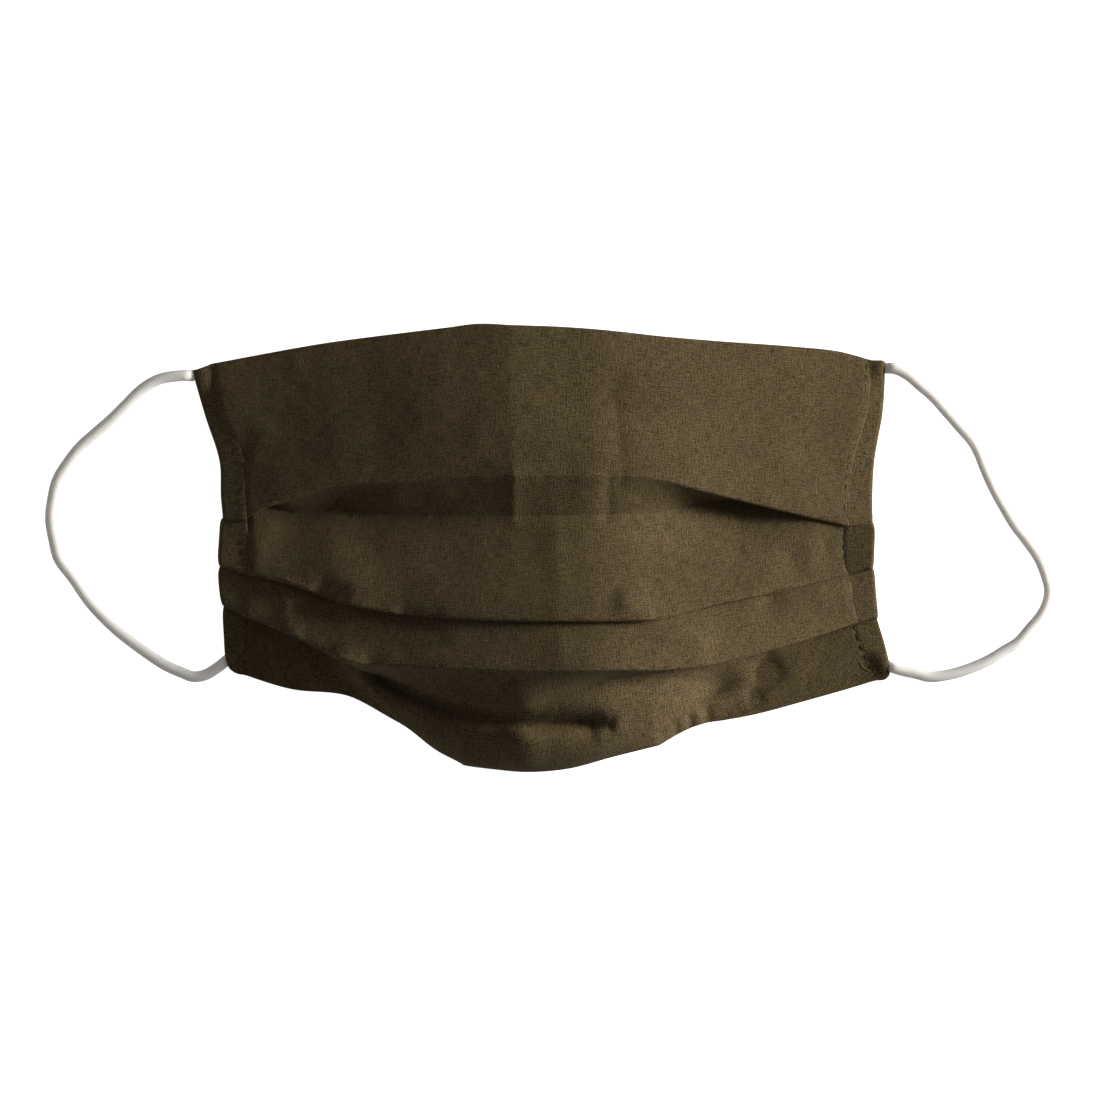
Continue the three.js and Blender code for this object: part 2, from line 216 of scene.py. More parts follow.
# Creases and puffs: half width and height in millimetres, sharpness from 1, a pressed crease, to 2, a
# soft roll, and line in pixels of the photograph. Each moves all the layers of cloth on its line alike.
CREASES = (
    # On the top panel
    (10, 1, 1.4, ((509, 285), (512, 400), (514, 440), (519, 505))),
    (22, 1.4, 1.6, ((440, 285), (442, 400), (446, 505))),
    (4, -0.6, 1.2, ((612, 370), (617, 430), (623, 500))),
    (3, 0.4, 1.4, ((272, 420), (258, 448), (250, 480), (252, 520))),
    (6, -1, 1.6, ((240, 430), (243, 480), (244, 540))),
    (14, -0.8, 2, ((600, 350), (604, 400), (606, 440))),
    # Over the first pleat
    (2.4, 0.6, 1, ((514, 465), (514, 530))),
    (2.2, -0.6, 1, ((609, 465), (606, 530))),
    (6, 0.6, 2, ((388, 488), (398, 512))),
    # On the second panel
    (3, 0.3, 1.4, ((276, 515), (262, 545), (252, 580))),
    (5, -0.8, 1.6, ((242, 505), (244, 545), (245, 590))),
    (20, 1.9, 1.8, ((362, 490), (362, 630))),
    (5, 0.5, 1.4, ((556, 500), (560, 570), (556, 630))),
    (5, -0.9, 2, ((790, 535), (796, 590))),
    (4, -0.6, 2, ((822, 525), (828, 580))),
    # On the third panel
    (3.2, 1.1, 1.4, ((290, 575), (286, 605), (289, 620), (302, 645))),
    (4.5, -2.4, 2, ((306, 590), (328, 599), (350, 610))),
    (3, -1.2, 2, ((392, 617), (420, 620), (450, 622))),
    (4.5, 1.6, 2, ((612, 592), (648, 618), (682, 634), (716, 648))),
    (3.5, 0.5, 1.3, ((556, 625), (562, 645), (556, 664))),
    (4, -1.4, 2, ((764, 585), (774, 620))),
    # On the chin panel
    (1.4, 0.7, 1.2, ((334, 650), (352, 669), (370, 687), (387, 703), (405, 722), (422, 742))),
    (4, 1.4, 2, ((334, 650), (370, 687), (405, 722))),
    (2.2, -1.7, 2, ((360, 664), *CHIN_GROOVE, (600, 720))),
    (2.2, -1.7, 2, ((366, 668), *CHIN_GROOVE, (608, 721))),
    (2.4, -1.7, 2, ((372, 672), *CHIN_GROOVE, (590, 720), (618, 724))),
    (3, -1.4, 2, ((370, 676), (400, 692), (430, 706), (466, 718), (500, 725), (602, 729))),
    (24, 3.4, 2, ((606, 640), (606, 800))),
    (2.6, -0.9, 2, ((292, 660), (310, 684))),
    (2.2, 0.6, 2, ((307, 664), (322, 688))),
    (7, -3.4, 2, ((704, 664), (712, 684), (720, 702))),
    (1.3, -0.6, 2, ((658, 726), (664, 742))),
    (1.3, -0.7, 2, ((671, 718), (678, 736))),
    (1.3, 0.6, 2, ((679, 714), (685, 734))),
    (1.4, -0.8, 2, ((686, 712), (691, 732))),
    (1.4, 0.7, 2, ((696, 708), (700, 728))),
    (1.4, -0.8, 2, ((704, 704), (709, 724))),
    (2, -0.9, 2, ((752, 684), (757, 712))),
    (4, -1.8, 2, ((756, 650), (772, 690))),
    (2.4, -0.8, 2, ((812, 664), (818, 694))),
    (4, -1, 2, ((834, 645), (840, 690))),
    # Over the third pleat
    (2, 0.7, 1.6, ((430, 686), (452, 690), (473, 697))),
    (1.6, -0.6, 1.6, ((436, 681), (456, 685), (478, 692))),
)


def at_pixel(px, py):
    """The place on the mask, seen from above, that a pixel of the photograph shows."""
    return ((px - PHOTO_CENTRE[0]) * PIXEL, (PHOTO_CENTRE[1] - py) * PIXEL)


def lerp(start, end, share):
    return start + (end - start) * share


def smooth(share):
    share = np.clip(share, 0, 1)
    return share * share * (3 - 2 * share)


def table_reader(columns, rows):
    """Smooth reading of a table between its rows, whose first column says where each row lies."""
    places = [row[0] for row in rows]

    def read(at):
        at = min(max(at, places[0]), places[-1])
        end = next(index for index in range(1, len(places)) if at <= places[index])
        start = end - 1
        before = start - 1 if start else end
        after = end + 1 if end + 1 < len(places) else start
        half = (places[end] - places[start]) / 2
        pull = half / (places[start] - places[before])
        push = half / (places[after] - places[end])
        p = (at - places[start]) / (places[end] - places[start])
        weights = (
            -pull * p * (1 - p) ** 2,
            (1 + pull) * p**3 - (1.5 + 2 * pull) * p**2 + (pull - 0.5) * p + 1,
            -(1 + push) * p**3 + (1.5 + push) * p**2 + 0.5 * p,
            push * (p**3 - p**2),
        )
        picked = [rows[index] for index in (before, start, end, after)]
        return {
            column: sum(weight * row[index + 1] for weight, row in zip(weights, picked))
            for index, column in enumerate(columns)
        }

    return read


read_section = table_reader(SECTION_COLUMNS, SECTIONS)
read_hem = table_reader(HEM_COLUMNS, HEMS)


class ClothSettings(bpy.types.PropertyGroup):
    """Sizes and colour of the pleated cloth and its side hems."""

    width: FloatProperty(
        name="Width", description="Hem edge to hem edge, along the nose edge", default=0.202, unit="LENGTH"
    )
    side_height: FloatProperty(
        name="Side height", description="Along a side hem, where the pleats stay folded",
        default=0.09, unit="LENGTH",
    )
    centre_height: FloatProperty(
        name="Centre height", description="Down the middle, where the pleats are drawn open",
        default=0.13, unit="LENGTH",
    )
    dome_height: FloatProperty(
        name="Dome height", description="The lowest fold above the surface, in the middle",
        default=0.028, unit="LENGTH",
    )
    thickness: FloatProperty(
        name="Cloth thickness", description="Wall of the doubled cotton",
        default=0.0008, unit="LENGTH", precision=5,
    )
    layer_gap: FloatProperty(
        name="Layer gap", description="Air between two layers inside a fold",
        default=0.00015, unit="LENGTH", precision=5,
    )
    pleat_depth: FloatProperty(
        name="Pleat depth", description="Cloth from the edge of a pleat to its tuck",
        default=0.012, unit="LENGTH",
    )
    tuck_sag: FloatProperty(
        name="Tuck sag",
        description="Share of a half-open pleat's cloth that hangs straight, the rest is slack",
        default=0.75, min=0, max=1,
    )
    fold_stand: FloatProperty(
        name="Fold stand", description="How far a fold stands off the cloth under it, in the middle",
        default=0.0009, unit="LENGTH", precision=4,
    )
    panel_puff: FloatProperty(
        name="Panel puff", description="How far the top panel bellies out",
        default=0.0012, unit="LENGTH", precision=4,
    )
    chin_tuck: FloatProperty(
        name="Chin tuck", description="How far the chin edge curls in under the dome",
        default=0.006, unit="LENGTH",
    )
    hem_width: FloatProperty(
        name="Hem width", description="Fold-over of the side hems", default=0.007, unit="LENGTH"
    )
    hem_drop: FloatProperty(
        name="Hem drop", description="How far a side hem slopes down to its outer edge",
        default=0.0016, unit="LENGTH", precision=4,
    )
    weave_pitch: FloatProperty(
        name="Weave pitch", description="Distance from thread to thread",
        default=0.0004, unit="LENGTH", precision=5,
    )
    colour: FloatVectorProperty(
        name="Cloth colour", description="Colour of the cotton",
        default=(0.084, 0.0595, 0.0265), subtype="COLOR", min=0, max=1,
    )


class StitchSettings(bpy.types.PropertyGroup):
    """Sizes and colour of the stitching down the side hems."""

    length: FloatProperty(
        name="Stitch length", description="From needle hole to needle hole",
        default=STITCH_LENGTH, unit="LENGTH", precision=4,
    )
    thread: FloatProperty(
        name="Thread", description="Thickness of the thread", default=0.00026, unit="LENGTH", precision=5
    )
    colour: FloatVectorProperty(
        name="Thread colour", description="Colour of the sewing thread",
        default=(0.017, 0.01, 0.005), subtype="COLOR", min=0, max=1,
    )


class LoopSettings(bpy.types.PropertyGroup):
    """Sizes and colour of the ear loops."""

    diameter: FloatProperty(
        name="Elastic", description="Thickness of the knitted elastic",
        default=0.003, unit="LENGTH", precision=4,
    )
    sewn_in: FloatProperty(
        name="Sewn-in end", description="Length of elastic inside the hem",
        default=0.003, unit="LENGTH", precision=4,
    )
    sides: IntProperty(name="Sides", description="Faces round the elastic", default=20, min=8)
    colour: FloatVectorProperty(
        name="Elastic colour", description="Colour of the knitted elastic",
        default=(0.86, 0.84, 0.805), subtype="COLOR", min=0, max=1,
    )


class StudioSettings(bpy.types.PropertyGroup):
    """The surface, the light and the camera."""

    camera_height: FloatProperty(
        name="Camera height", description="Camera above the surface", default=3.0, unit="LENGTH"
    )
    view_width: FloatProperty(
        name="View width", description="Width of surface that the camera sees", default=0.319, unit="LENGTH"
    )
    key_power: FloatProperty(
        name="Key light", description="Power of the light at the right", default=45.0, min=0
    )
    fill: FloatProperty(name="Fill", description="Strength of the light from all around", default=0.18, min=0)
    bounce: FloatProperty(
        name="Bounce", description="Strength of the light that the surface throws back", default=0.45, min=0
    )
    floor_colour: FloatVectorProperty(
        name="Floor colour", description="Colour of the surface",
        default=(0.9, 0.9, 0.9), subtype="COLOR", min=0, max=1,
    )


def outward(angle):
    """Outer side of cloth that runs in the direction of an angle, in the plane of y and z."""
    return Vector((math.sin(angle), -math.cos(angle)))


def direction_between(start, end, radius):
    """Direction of the cloth that runs straight from one turn to the next. A turn is its sign, 1
    round a fold, -1 round a tuck and 0 at a plain point, and its centre."""
    offset = (start[0] - end[0]) * radius
    reach = end[1] - start[1]
    straight = math.sqrt(max(reach.length_squared - offset * offset, 0))
    return math.atan2(reach.y, reach.x) + math.atan2(offset, straight)


def folded_drop(depth, spacing, climb, layer):
    """How far below its fold a folded tuck lies, so that the cloth under it clears it."""
    share = depth / (depth + spacing)
    return (layer + share * (climb + layer)) / (1 - share)


def turns_of(cloth, at):
    """The folds and tucks of one section, the chin edge and the places of the lines."""
    row = read_section(at)
    layer = cloth.thickness + cloth.layer_gap
    radius, flat, depth = layer / 2, cloth.thickness / 2, cloth.pleat_depth
    ys = [
        lerp(side * cloth.side_height, middle * cloth.centre_height, row[name])
        for name, side, middle, _ in LINES
    ]
    rises = [rise * cloth.dome_height for *_, rise in LINES]
    spacings = [ys[index] - ys[index + 1] for index in (1, 2, 3)]
    stand = flat + radius + max(folded_drop(depth, gap, 0, layer) for gap in spacings)
    heights = [lerp(stand, rises[index], row["lift"]) for index in (1, 2, 3)]
    turns = [(0, Vector((ys[0], flat + rises[0] * row["lift"])))]
    for index in range(3):
        fold = Vector((ys[index + 1], heights[index]))
        forward = -depth * row[f"show{index + 1}"]
        above = turns[-1][1]
        following = heights[index + 1] if index < 2 else fold.y
        drop = layer
        if forward > 0:
            over = forward / (above.x - fold.x)
            clear_over = layer + over * (fold.y - above.y + layer)
            drop = max(clear_over, folded_drop(forward, spacings[index], following - fold.y, layer))
        hang = cloth.tuck_sag * math.sqrt(max(depth * depth - forward * forward, 0))
        if index < 2:
            hang *= min(row["lift"] / FULL_HANG_LIFT, 1)
        drop = min(max(drop, hang) + cloth.fold_stand * row["lift"], fold.y - flat - radius)
        turns.append((1, fold))
        turns.append((-1, Vector((fold.x + forward, fold.y - drop))))
    return turns, ys, flat, radius


def cloth_line(cloth, at):
    """The middle of the cloth in one section, from the nose edge to the chin edge: points in the plane
    of y and z, the leg that each lies on and its share of that leg, and the places of the lines."""
    turns, ys, flat, radius = turns_of(cloth, at)
    last = turns[-1][1]
    steep = min((last.y - flat - radius) / (cloth.dome_height / 2), 1) ** 2
    end = Vector((ys[4] + cloth.chin_tuck * steep, flat))
    # How far out both bend points lie, for the middle of a steep chin panel to come near the chin line
    belly = (8 * ys[4] - last.x - end.x) / 6

    def bend_point(share, height):
        return Vector((lerp(lerp(last.x, end.x, share), belly, steep), lerp(flat, last.y * height, steep)))

    shoulder = bend_point(1 / 3, CHIN_SHOULDER)
    heel = bend_point(2 / 3, CHIN_HEEL)
    turns = turns + [(0, shoulder)]
    directions = [direction_between(start, stop, radius) for start, stop in zip(turns, turns[1:])]
    points, legs, ends = [turns[0][1]], [0], [0.0]
    for index in range(1, len(directions)):
        sign, centre = turns[index]
        leg = index - 1
        side = outward(directions[leg])
        start = points[-1]
        stop = centre + sign * radius * side
        puff = cloth.panel_puff * min(centre.y / cloth.dome_height, 1) if leg == 0 else 0
        for step in range(1, LEG_STEPS[leg]):
            share = step / LEG_STEPS[leg]
            points.append(start.lerp(stop, share) + puff * math.sin(math.pi * share) * side)
            legs.append(leg)
            ends.append(share)
        wrap = sign * (directions[index] - directions[leg])
        wrap = (wrap + math.pi / 2) % TURN - math.pi / 2
        for step in range(FOLD_STEPS + 1):
            angle = directions[leg] + sign * wrap * step / FOLD_STEPS
            points.append(centre + sign * radius * outward(angle))
            before = step <= FOLD_STEPS / 2
            legs.append(leg if before else index)
            ends.append(1.0 if before else 0.0)
    count = LEG_STEPS[CHIN_LEG]
    bend = geometry.interpolate_bezier(points[-1], shoulder, heel, end, count + 1)
    for step in range(1, count + 1):
        points.append(bend[step].to_2d())
        legs.append(CHIN_LEG)
        ends.append(step / count)
    return {"points": points, "legs": legs, "ends": ends, "ys": ys}


def count_lines(ys, y):
    """Where a height on a side hem lies, counted in lines from the nose edge."""
    index = 0
    while index < len(ys) - 2 and y < ys[index + 1]:
        index += 1
    share = (ys[index] - y) / (ys[index] - ys[index + 1])
    return index + min(max(share, 0), 1)


def tab_at(at):
    """The tab of a side hem at a place counted in lines."""
    return min(int(at), 3)


def hem_edge(cloth, side, at):
    return side * cloth.width / 2 * read_hem(at)["left_edge" if side < 0 else "right_edge"]


def stitch_line(cloth, side, at):
    share = read_hem(at)["left_hem" if side < 0 else "right_hem"]
    return hem_edge(cloth, side, at) - side * cloth.hem_width * share


def along_polyline(x, y, line):
    """Distance of points from a line and their share of its length."""
    nearest = np.full(x.shape, np.inf)
    share = np.zeros(x.shape)
    lengths = [math.dist(a, b) for a, b in zip(line, line[1:])]
    walked, total = 0, sum(lengths)
    for (ax, ay), (bx, by), length in zip(line, line[1:], lengths):
        t = np.clip(((x - ax) * (bx - ax) + (y - ay) * (by - ay)) / length**2, 0, 1)
        distance = np.hypot(x - ax - t * (bx - ax), y - ay - t * (by - ay))
        closer = distance < nearest
        nearest = np.where(closer, distance, nearest)
        share = np.where(closer, (walked + t * length) / total, share)
        walked += length
    return nearest, share


def link_object(name, mesh):
    piece = bpy.data.objects.new(name, mesh)
    bpy.context.scene.collection.objects.link(piece)
    return piece


def moulded_grid(columns, rows, place, texture):
    """A bmesh grid whose point in column i and row j is moved to place(i, j). texture(i, j) gives its
    place on the cloth for the UV map."""
    sheet = bmesh.new()
    bmesh.ops.create_grid(sheet, x_segments=columns - 1, y_segments=rows - 1, size=1)
    sheet.verts.ensure_lookup_table()
    for index, vert in enumerate(sheet.verts):
        vert.co = place(index % columns, index // columns)
    layer = sheet.loops.layers.uv.new("weave")
    for face in sheet.faces:
        face.smooth = True
        for loop in face.loops:
            loop[layer].uv = texture(loop.vert.index % columns, loop.vert.index // columns)
    return sheet


def fill_mesh(mesh, shape, material):
    shape.to_mesh(mesh)
    shape.free()
    mesh.materials.append(material)
    return link_object(mesh.name, mesh)


def finished(name, shape, material):
    return fill_mesh(bpy.data.meshes.new(name), shape, material)


def joined(name, shapes, material):
    """One piece made of several shapes."""
    mesh = bpy.data.meshes.new(name)
    whole = bmesh.new()
    for shape in shapes:
        shape.to_mesh(mesh)
        shape.free()
        whole.from_mesh(mesh)
    return fill_mesh(mesh, whole, material)


def close_up(shape):
    """Merges the seam of a rolled-up grid, closes its ends and points its faces outwards."""
    bmesh.ops.remove_doubles(shape, verts=shape.verts, dist=1e-7)
    bmesh.ops.holes_fill(shape, edges=[edge for edge in shape.edges if edge.is_boundary], sides=0)
    bmesh.ops.recalc_face_normals(shape, faces=shape.faces)
    return shape


class Recipe:
    """A material's node tree, built step by step. A value is a number, a colour or a node's output."""

    def __init__(self, name):
        self.material = bpy.data.materials.new(name)
        self.material.use_nodes = True
        self.tree = self.material.node_tree
        self.shader = self.tree.nodes["Principled BSDF"]

    def node(self, kind, inputs=(), **settings):
        made = self.tree.nodes.new("ShaderNode" + kind)
        for key, value in settings.items():
            setattr(made, key, value)
        for socket, value in dict(inputs).items():
            self.feed(made.inputs[socket], value)
        return made

    def feed(self, socket, value):
        if isinstance(value, bpy.types.NodeSocket):
            self.tree.links.new(value, socket)
        else:
            socket.default_value = value

    def math(self, operation, *values):
        made = self.tree.nodes.new("ShaderNodeMath")
        made.operation = operation
        for socket, value in zip(made.inputs, values):
            self.feed(socket, value)
        return made.outputs[0]

    def ramp(self, value, low, high, start=0.0, end=1.0):
        limits = {"Value": value, "From Min": low, "From Max": high, "To Min": start, "To Max": end}
        return self.node("MapRange", limits).outputs["Result"]

    def mix(self, factor, first, second):
        made = self.node("Mix", data_type="RGBA")
        for socket, value in zip((made.inputs[0], made.inputs[6], made.inputs[7]), (factor, first, second)):
            self.feed(socket, value)
        return made.outputs[2]

    def noise(self, vector, scale, detail, stretch=(1, 1, 1)):
        mapped = self.node("Mapping", {"Vector": vector, "Scale": stretch}).outputs[0]
        return self.node("TexNoise", {"Vector": mapped, "Scale": scale, "Detail": detail}).outputs[0]

    def surface(self, inputs):
        for socket, value in inputs.items():
            self.feed(self.shader.inputs[socket], value)

    def relief(self, height, strength, distance):
        inputs = {"Height": height, "Strength": strength, "Distance": distance}
        self.surface({"Normal": self.node("Bump", inputs).outputs[0]})


def weave_material(name, colour, pitch):
    """Plain weave that follows the piece's UV map, which is in metres of cloth."""
    recipe = Recipe(name)
    cloth = recipe.node("UVMap", uv_map="weave").outputs[0]
    split = recipe.node("SeparateXYZ", {"Vector": cloth})
    warp = recipe.math("SINE", recipe.math("MULTIPLY", split.outputs[0], math.pi / pitch))
    weft = recipe.math("SINE", recipe.math("MULTIPLY", split.outputs[1], math.pi / pitch))
    cell = recipe.math("MULTIPLY", warp, weft)
    bumps = recipe.math("ABSOLUTE", cell)
    wide, long = 1.2, 0.12  # a thread's colour changes faster across it than along it
    upright = recipe.noise(cloth, 1 / pitch, 1, (wide, long, 1))
    level = recipe.noise(cloth, 1 / pitch, 1, (long, wide, 1))
    grain = recipe.noise(cloth, 1.1 / pitch, 1)
    slubs = recipe.math("ADD", recipe.math("ADD", upright, level), recipe.math("MULTIPLY", grain, 2.2))
    patches = recipe.noise(cloth, 90, 4)
    lighter = [min(value * 1.85, 1) for value in colour] + [1]
    darker = [value * 0.3 for value in colour] + [1]
    threads = recipe.ramp(slubs, 1.72, 2.48)
    shade = recipe.mix(threads, darker, lighter)
    shade = recipe.mix(recipe.ramp(cell, -1, 1, 0, 0.15), shade, lighter)
    shade = recipe.mix(recipe.ramp(patches, 0.35, 0.65, 0, 0.14), shade, darker)
    specks = recipe.node("TexVoronoi", {"Vector": cloth, "Scale": 55.0})
    cells = recipe.node("SeparateColor", {"Color": specks.outputs["Color"]})
    chosen = recipe.math("GREATER_THAN", cells.outputs[0], 0.8)
    near = recipe.math("LESS_THAN", specks.outputs["Distance"], 0.017)
    lint = recipe.math("MULTIPLY", chosen, near)
    shade = recipe.mix(recipe.math("MULTIPLY", lint, 0.5), shade, (0.45, 0.42, 0.36, 1))
    height = recipe.math("ADD", recipe.math("MULTIPLY", bumps, 0.6), recipe.math("MULTIPLY", slubs, 0.8))
    recipe.relief(height, 0.6, 0.00012)
    recipe.surface({
        "Base Color": shade,
        "Roughness": recipe.ramp(patches, 0.3, 0.7, 0.88, 0.98),
        "Specular IOR Level": 0.2,
        "Sheen Weight": 0.03,
        "Sheen Roughness": 0.5,
        "Sheen Tint": (0.8, 0.66, 0.42, 1),
    })
    return recipe.material


def elastic_material(name, colour):
    """Knitted elastic: fine wales along the cord and slanting courses round it."""
    wale, course, slope = 0.00055, 0.0007, 0.0003
    recipe = Recipe(name)
    cord = recipe.node("UVMap", uv_map="weave").outputs[0]
    split = recipe.node("SeparateXYZ", {"Vector": cord})
    wales = recipe.math("SINE", recipe.math("MULTIPLY", split.outputs[0], TURN / wale))
    drift = recipe.math("MULTIPLY", recipe.math("ABSOLUTE", wales), slope)
    slant = recipe.math("ADD", split.outputs[1], drift)
    courses = recipe.math("SINE", recipe.math("MULTIPLY", slant, TURN / course))
    knit = recipe.math("ADD", recipe.math("MULTIPLY", wales, 0.5), recipe.math("MULTIPLY", courses, 0.5))
    fuzz = recipe.noise(cord, 900, 3)
    height = recipe.math("ADD", knit, recipe.math("MULTIPLY", fuzz, 1.2))
    recipe.relief(height, 0.35, 0.00012)
    shaded = [value * 0.86 for value in colour] + [1]
    shade = recipe.mix(recipe.ramp(knit, -1, 1), shaded, list(colour) + [1])
    patches = recipe.noise(cord, 160, 3)
    shade = recipe.mix(recipe.ramp(patches, 0.35, 0.7, 0, 0.35), shade, shaded)
    recipe.surface({
        "Base Color": shade,
        "Roughness": 0.85,
        "Specular IOR Level": 0.15,
        "Subsurface Weight": 1,
        "Subsurface Radius": (1, 0.95, 0.9),
        "Subsurface Scale": 0.003,
    })
    return recipe.material


def thread_material(name, colour):
    """Twisted sewing thread."""
    recipe = Recipe(name)
    place = recipe.node("TexCoord").outputs["Object"]
    inputs = {"Vector": place, "Scale": 900.0, "Distortion": 1.0}
    twist = recipe.node("TexWave", inputs, bands_direction="DIAGONAL")
    darker, lighter = ([value * share for value in colour] + [1] for share in (0.7, 1.5))
    shade = recipe.mix(twist.outputs[1], darker, lighter)
    recipe.relief(twist.outputs[1], 0.4, 0.00005)
    recipe.surface({"Base Color": shade, "Roughness": 0.7})
    return recipe.material


def paper_material(colour):
    """The pale surface, which glows a little so that it is as even as in the photograph."""
    recipe = Recipe("pale_surface")
    recipe.surface({
        "Base Color": (*colour, 1),
        "Roughness": 0.9,
        "Specular IOR Level": 0.1,
        "Emission Color": (1, 1, 1, 1),
        "Emission Strength": 0.98,
    })
    return recipe.material


def cloth_ends(cloth, side):
    """Where the cloth ends under one side hem, as an x for each point of the section there."""
    line = cloth_line(cloth, side)
    seams = [stitch_line(cloth, side, count_lines(line["ys"], point.x)) for point in line["points"]]
    return np.array([seam + side * CLOTH_UNDER_HEM for seam in seams])


def cloth_sections(cloth):
    """Sections of the cloth from hem to hem: arrays of the places of their points and of the length of
    cloth up to each, and the points' legs and shares of a leg, which are alike in all the sections."""
    left_x, right_x = cloth_ends(cloth, -1), cloth_ends(cloth, 1)
    places, lengths = [], []
    for cut in range(CLOTH_SECTIONS):
        even = 2 * cut / (CLOTH_SECTIONS - 1) - 1
        at = lerp(even, math.sin(math.pi / 2 * even), SECTION_CROWDING)
        line = cloth_line(cloth, at)
        yz = np.array([tuple(point) for point in line["points"]])
        x = lerp(left_x, right_x, (at + 1) / 2)
        places.append(np.column_stack((x, yz)))
        lengths.append(np.concatenate(([0], np.cumsum(np.hypot(*np.diff(yz, axis=0).T)))))
    return np.array(places), np.array(lengths), np.array(line["legs"]), np.array(line["ends"])


def slack_at(x, y):
    """The gentle unevenness of slack cloth, in millimetres."""
    place = Vector((x, y, 0))
    broad = noise.noise(place * 60 + Vector((0, 7, 0)))
    fine = noise.noise(place * 190)
    return 0.35 * broad + 0.1 * fine


def crease_heights(places, legs, ends):
    """How far the creases, puffs and slack of the cloth lift it. Away from the chin edge and the hems
    this depends only on the place seen from above, so that layers over each other are lifted alike.
    Layers that lie close together still cross in places."""
    raised = np.zeros(places.shape[:2])
    x, y = places[..., 0], places[..., 1]
    for width, height, sharpness, pixels in CREASES:
        distance, share = along_polyline(x, y, [at_pixel(*pixel) for pixel in pixels])
        total = sum(math.dist(start, end) for start, end in zip(pixels, pixels[1:])) * PIXEL
        reach = min(CREASE_FADE * width * MM / total, MOST_FADE)
        taper = smooth(share / reach) * smooth((1 - share) / reach)
        raised += height * MM * taper * np.exp(-((distance / (width * MM)) ** sharpness))
    for cut in range(places.shape[0]):
        for point in range(places.shape[1]):
            raised[cut, point] += slack_at(x[cut, point], y[cut, point]) * MM
    window = np.ones(len(legs))
    window[legs == CHIN_LEG] = smooth((1 - ends[legs == CHIN_LEG]) / CHIN_FADE)
    raised *= window
    groove, ripple_height, ripple_reach = 2.2 * MM, 0.1 * MM, 1.6 * MM
    for end, depth in ((0, 0.35), (-1, 0.25)):
        inside = np.abs(x - x[end][None, :])
        raised -= depth * MM * smooth(1 - inside / groove)
        ripple = np.cos(TURN * y / STITCH_LENGTH)
        raised += ripple_height * ripple * np.exp(-((inside - groove) / ripple_reach) ** 2) * window
    return raised


class MASK_OT_pleated_cloth(bpy.types.Operator):
    """Makes the pleated cloth, drawn open over its dome"""

    bl_idname = "mask.pleated_cloth"
    bl_label = "Pleated cloth"

    def execute(self, context):
        cloth = context.scene.mask_cloth
        places, lengths, legs, ends = cloth_sections(cloth)
        places[..., 2] += crease_heights(places, legs, ends)
        places[..., 2] = np.maximum(places[..., 2], cloth.thickness / 2)
        width = places[-1, :, 0].max() - places[0, :, 0].min()

        def texture(cut, point):
            return (width * cut / (CLOTH_SECTIONS - 1), lengths[cut, point])

        shape = moulded_grid(
            CLOTH_SECTIONS, places.shape[1], lambda cut, point: places[cut, point], texture
        )
        bmesh.ops.reverse_faces(shape, faces=shape.faces)
        material = weave_material("cotton_weave", cloth.colour, cloth.weave_pitch)
        piece = finished("pleated_cloth", shape, material)
        wall = piece.modifiers.new("wall", "SOLIDIFY")
        wall.thickness = cloth.thickness
        wall.offset = 0
        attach(piece, "root")
        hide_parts("pleated_panel")
        return {"FINISHED"}


def leg_height(line, leg, y):
    """Height of the middle of one leg of cloth in a section, at a place y."""
    spots = sorted(
        (point.x, point.y)
        for point, lies, end in zip(line["points"], line["legs"], line["ends"])
        if lies == leg and 0 < end < 1
    )
    return float(np.interp(y, [spot[0] for spot in spots], [spot[1] for spot in spots]))


def hem_top(cloth, side, tab, height, share):
    """Height of a side hem's upper face, from its seam to its outer edge."""
    return lerp(height, max(height - cloth.hem_drop * HEM_DROPS[side][tab], HEM_LEAST), share)


